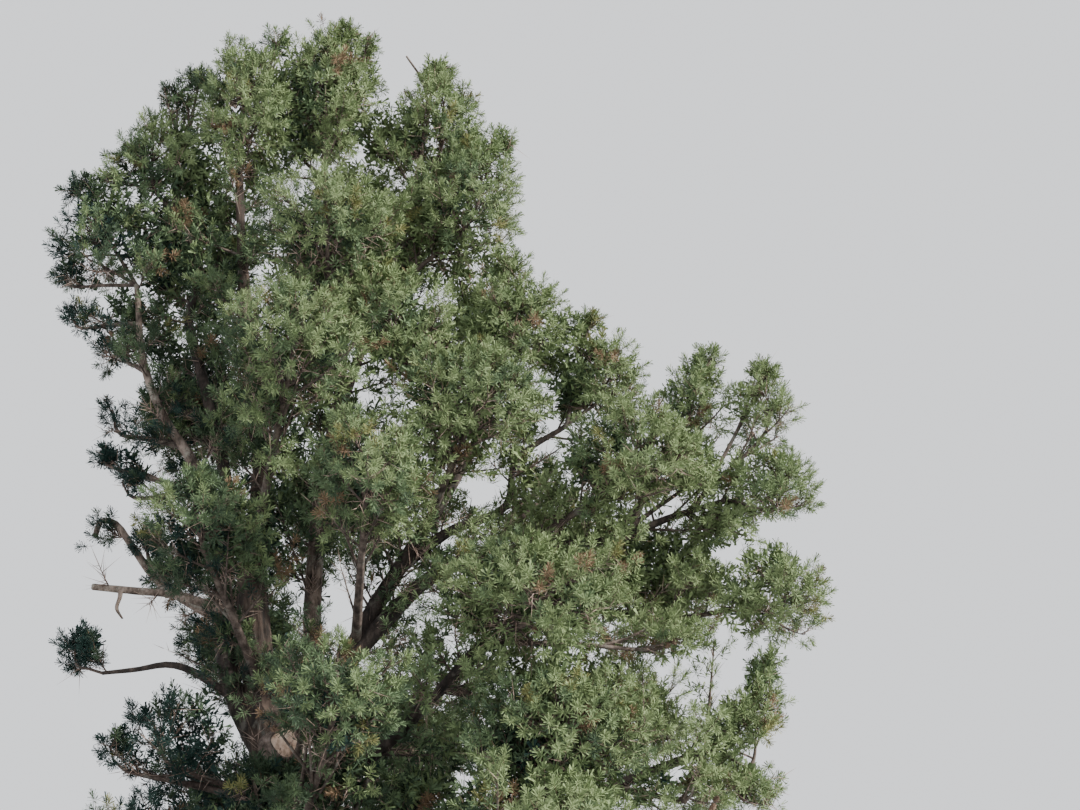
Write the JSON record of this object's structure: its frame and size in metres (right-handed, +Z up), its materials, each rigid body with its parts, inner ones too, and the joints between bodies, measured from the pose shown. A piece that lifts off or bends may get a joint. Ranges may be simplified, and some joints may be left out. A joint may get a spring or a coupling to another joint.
{
  "type": "radiata pine tree",
  "caption": "Old open-grown pine with a stout trunk that forks low into several leaders and a wide, one-sided crown of separate needle masses.",
  "frame": {"origin": "middle of the trunk's flat cut at ground level", "axes": "+Z up along the trunk, +X towards the side that the crown leans to, +Y away from the sunny side that the picture shows"},
  "size_m": [13.5425, 10.2811, 23.7529],
  "materials": {
    "trunk_bark": "deeply furrowed dark grey-brown bark",
    "limb_bark": "smoother, paler, pinkish-grey bark",
    "needles": "olive green needles in soft sprays, standing in for foliage"
  },
  "bodies": {
    "root": {"trunk": "trunk_bark", "left_leader": "limb_bark", "left_fork": "limb_bark", "grey_leader": "limb_bark", "bare_leader": "limb_bark", "right_leader": "limb_bark", "upper_right_bough": "limb_bark", "long_right_bough": "limb_bark", "far_right_bough": "limb_bark", "low_left_bough": "limb_bark", "broken_limb": "limb_bark", "hooked_limb": "limb_bark", "front_right_bough": "limb_bark", "low_right_bough": "limb_bark", "back_right_bough": "limb_bark", "crown_top": "needles", "crown_top_left": "needles", "second_top": "needles", "high_right_shoulder": "needles", "left_shoulder": "needles", "left_edge": "needles", "upper_front": "needles", "left_mid": "needles", "left_wisp": "needles", "left_low_wisp": "needles", "centre_front": "needles", "right_crest": "needles", "right_step": "needles", "right_inner": "needles", "spire_left": "needles", "spire_right": "needles", "right_mid": "needles", "right_edge": "needles", "far_right": "needles", "front_right": "needles", "front_mid": "needles", "front_left": "needles", "left_tuft": "needles", "left_low": "needles", "front_low": "needles", "low_right": "needles", "low_right_edge": "needles", "high_inner": "needles", "centre": "needles", "right_low_mid": "needles", "back_top": "needles", "back_high_right": "needles", "back_left": "needles", "back_centre": "needles", "back_right": "needles", "back_low_left": "needles", "back_low": "needles", "back_low_right": "needles", "back_lowest": "needles", "low_tier_1": "needles", "low_tier_2": "needles", "low_tier_3": "needles", "low_tier_4": "needles", "low_tier_5": "needles", "low_tier_6": "needles"}
  },
  "joints": []
}
